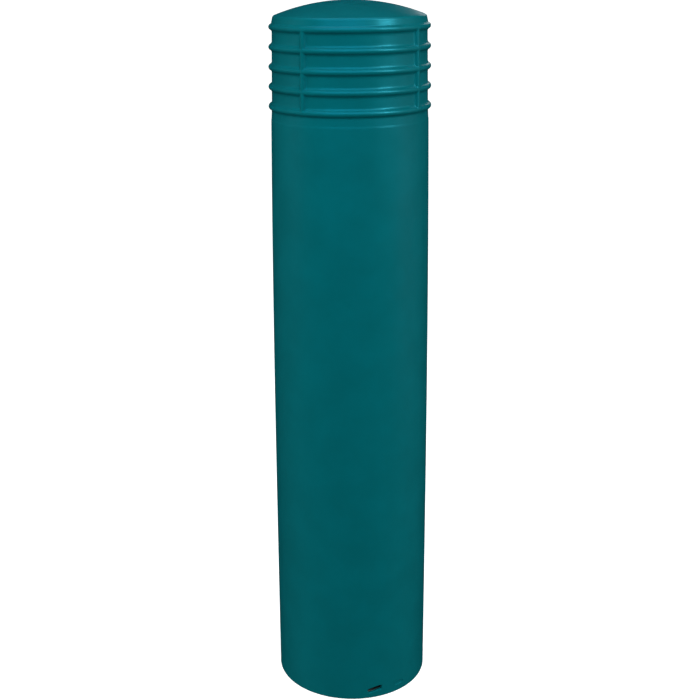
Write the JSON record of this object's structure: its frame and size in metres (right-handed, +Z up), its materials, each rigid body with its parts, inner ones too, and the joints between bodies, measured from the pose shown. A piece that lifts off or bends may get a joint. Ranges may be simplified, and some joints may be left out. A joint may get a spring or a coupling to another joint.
{
  "type": "safety bollard",
  "caption": "Concrete-filled steel post on an anchored foot plate, under a ribbed teal plastic cover that lifts off; stops vehicles and marks an edge.",
  "frame": {"origin": "on the ground at the centre of the post, under the foot plate", "axes": "+Z up along the post, -Y the front as the picture shows it, +X to the right"},
  "size_m": [0.2539, 0.254, 1.136],
  "materials": {
    "teal_plastic": "satin moulded polyethylene, through-coloured teal",
    "yellow_paint": "semi-gloss safety yellow enamel on steel",
    "primed_steel": "matt grey primer on hot-rolled plate",
    "weld_metal": "brushed fillet weld",
    "concrete": "trowelled cement concrete",
    "foam": "closed-cell polyethylene foam, dark grey"
  },
  "bodies": {
    "post": {"steel_pipe": "yellow_paint", "foot_plate": "primed_steel", "pipe_weld": "weld_metal", "concrete_core": "concrete", "crown_pad": "foam", "gusset_1": "yellow_paint", "gusset_2": "yellow_paint", "gusset_3": "yellow_paint", "gusset_4": "yellow_paint", "gusset_weld_1": "weld_metal", "gusset_weld_2": "weld_metal", "gusset_weld_3": "weld_metal", "gusset_weld_4": "weld_metal", "foam_block_lower_1": "foam", "foam_block_lower_2": "foam", "foam_block_lower_3": "foam", "foam_block_lower_4": "foam", "foam_block_upper_1": "foam", "foam_block_upper_2": "foam", "foam_block_upper_3": "foam", "foam_block_upper_4": "foam"},
    "cover": {"cover_shell": "teal_plastic"}
  },
  "joints": [
    {"name": "cover_lift", "type": "slide", "parent": "post", "child": "cover", "axis": [0, 0, 1], "range_m": [0, 1.2]}
  ]
}
